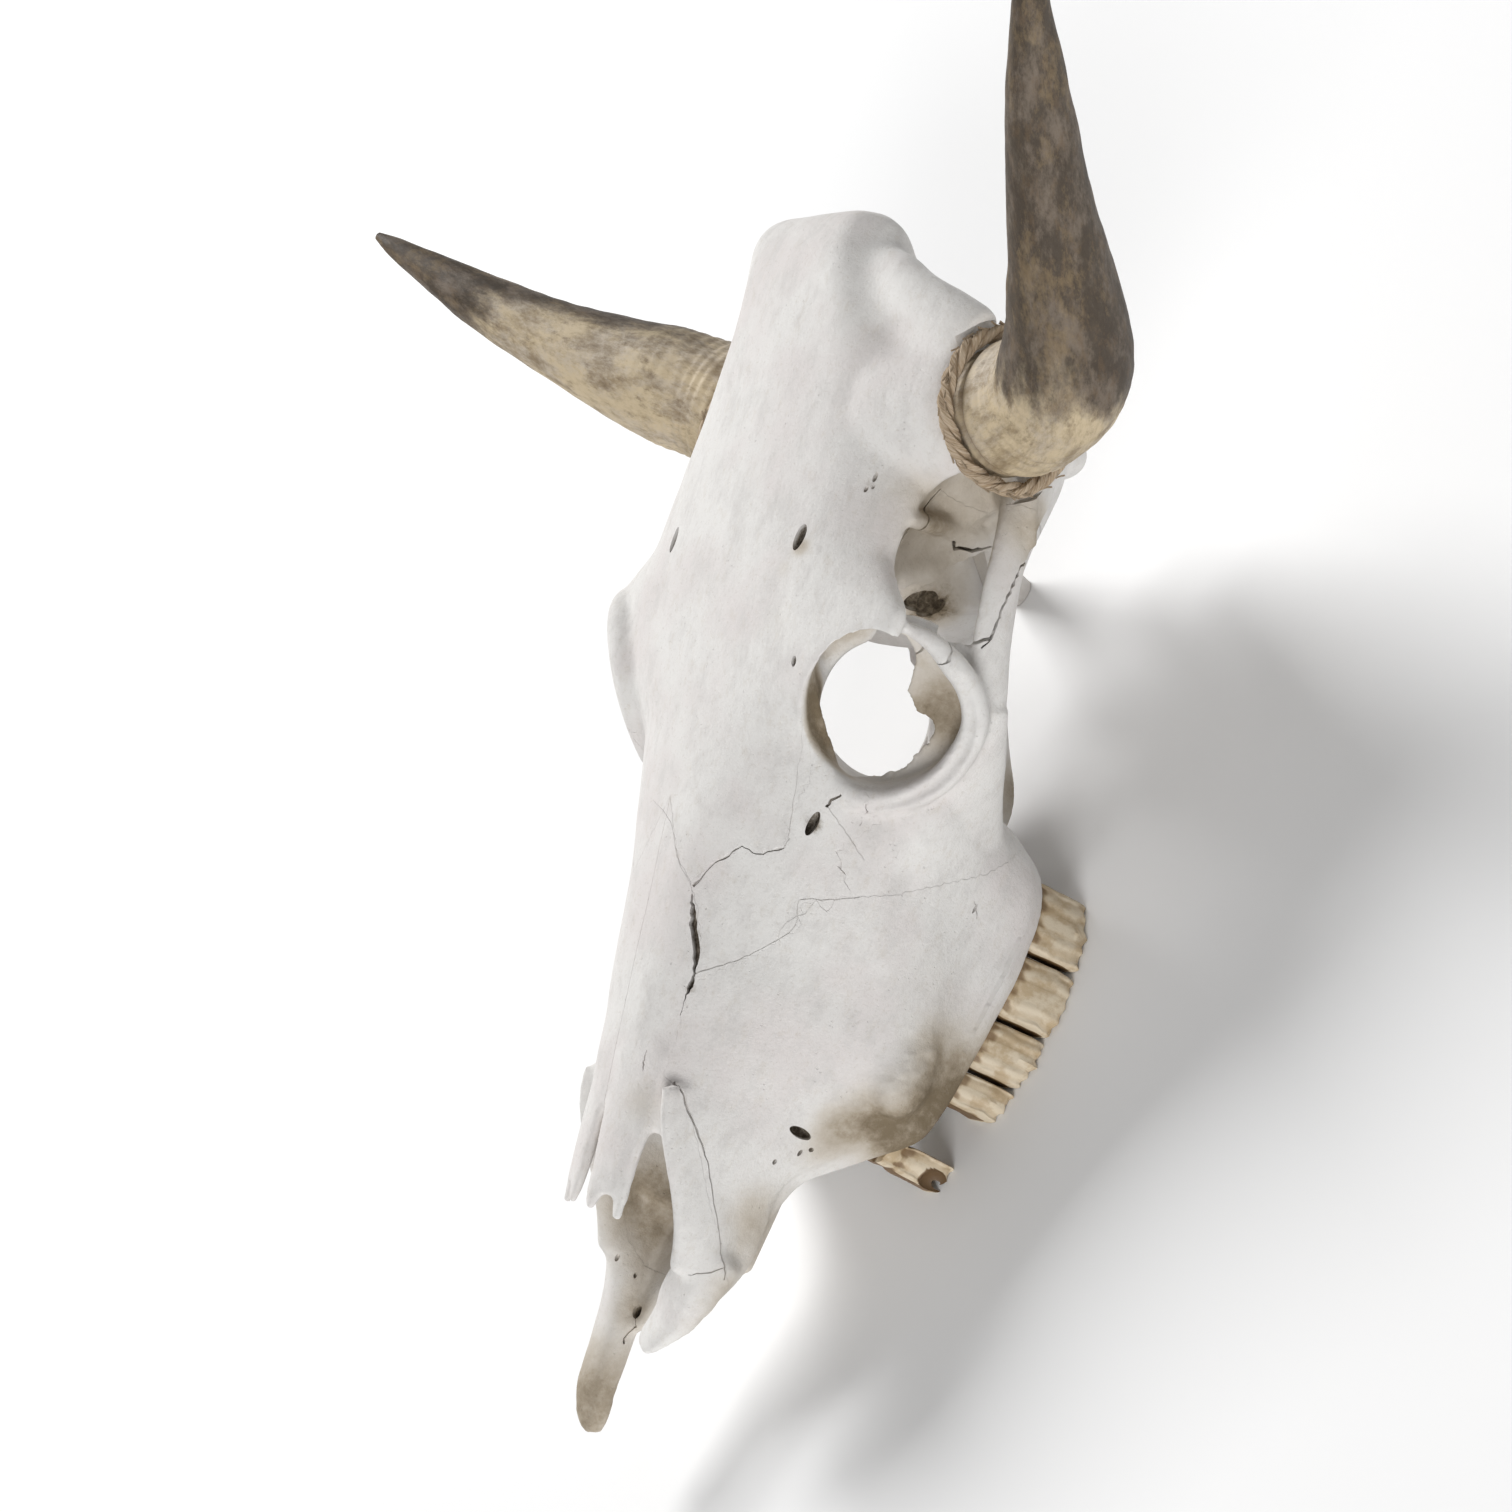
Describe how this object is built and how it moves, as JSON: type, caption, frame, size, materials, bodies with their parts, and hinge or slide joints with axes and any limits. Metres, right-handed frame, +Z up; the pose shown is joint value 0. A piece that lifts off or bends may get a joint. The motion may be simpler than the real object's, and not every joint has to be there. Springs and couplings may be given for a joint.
{
  "type": "cow skull",
  "caption": "Life-size horned cow skull without its lower jaw: pale bones parted along their seams, brown horn sheaths and a rope ring round each horn's foot",
  "frame": {"origin": "On the floor, under the middle of the whole skull's box, horns included", "axes": "+X the skull's own left, +Y from the muzzle to the crown, +Z up out of the forehead; the chewing plane of the cheek teeth is the floor"},
  "size_m": [0.5192, 0.4846, 0.3257],
  "materials": {
    "bone": "dry chalky bone, off-white",
    "horn": "weathered horn, satin, grey-brown",
    "rope": "rough twisted plant-fibre cord"
  },
  "bodies": {
    "root": {"frontal": "bone", "nasal_left": "bone", "nasal_right": "bone", "incisive_left": "bone", "incisive_right": "bone", "lacrimal_left": "bone", "lacrimal_right": "bone", "zygomatic_left": "bone", "zygomatic_right": "bone", "maxilla_left": "bone", "maxilla_right": "bone", "temporal_left": "bone", "temporal_right": "bone", "occipital": "bone", "palatine": "bone", "sphenoid": "bone", "horn_left": "horn", "horn_right": "horn", "rope_left": "rope", "rope_right": "rope"}
  },
  "joints": []
}
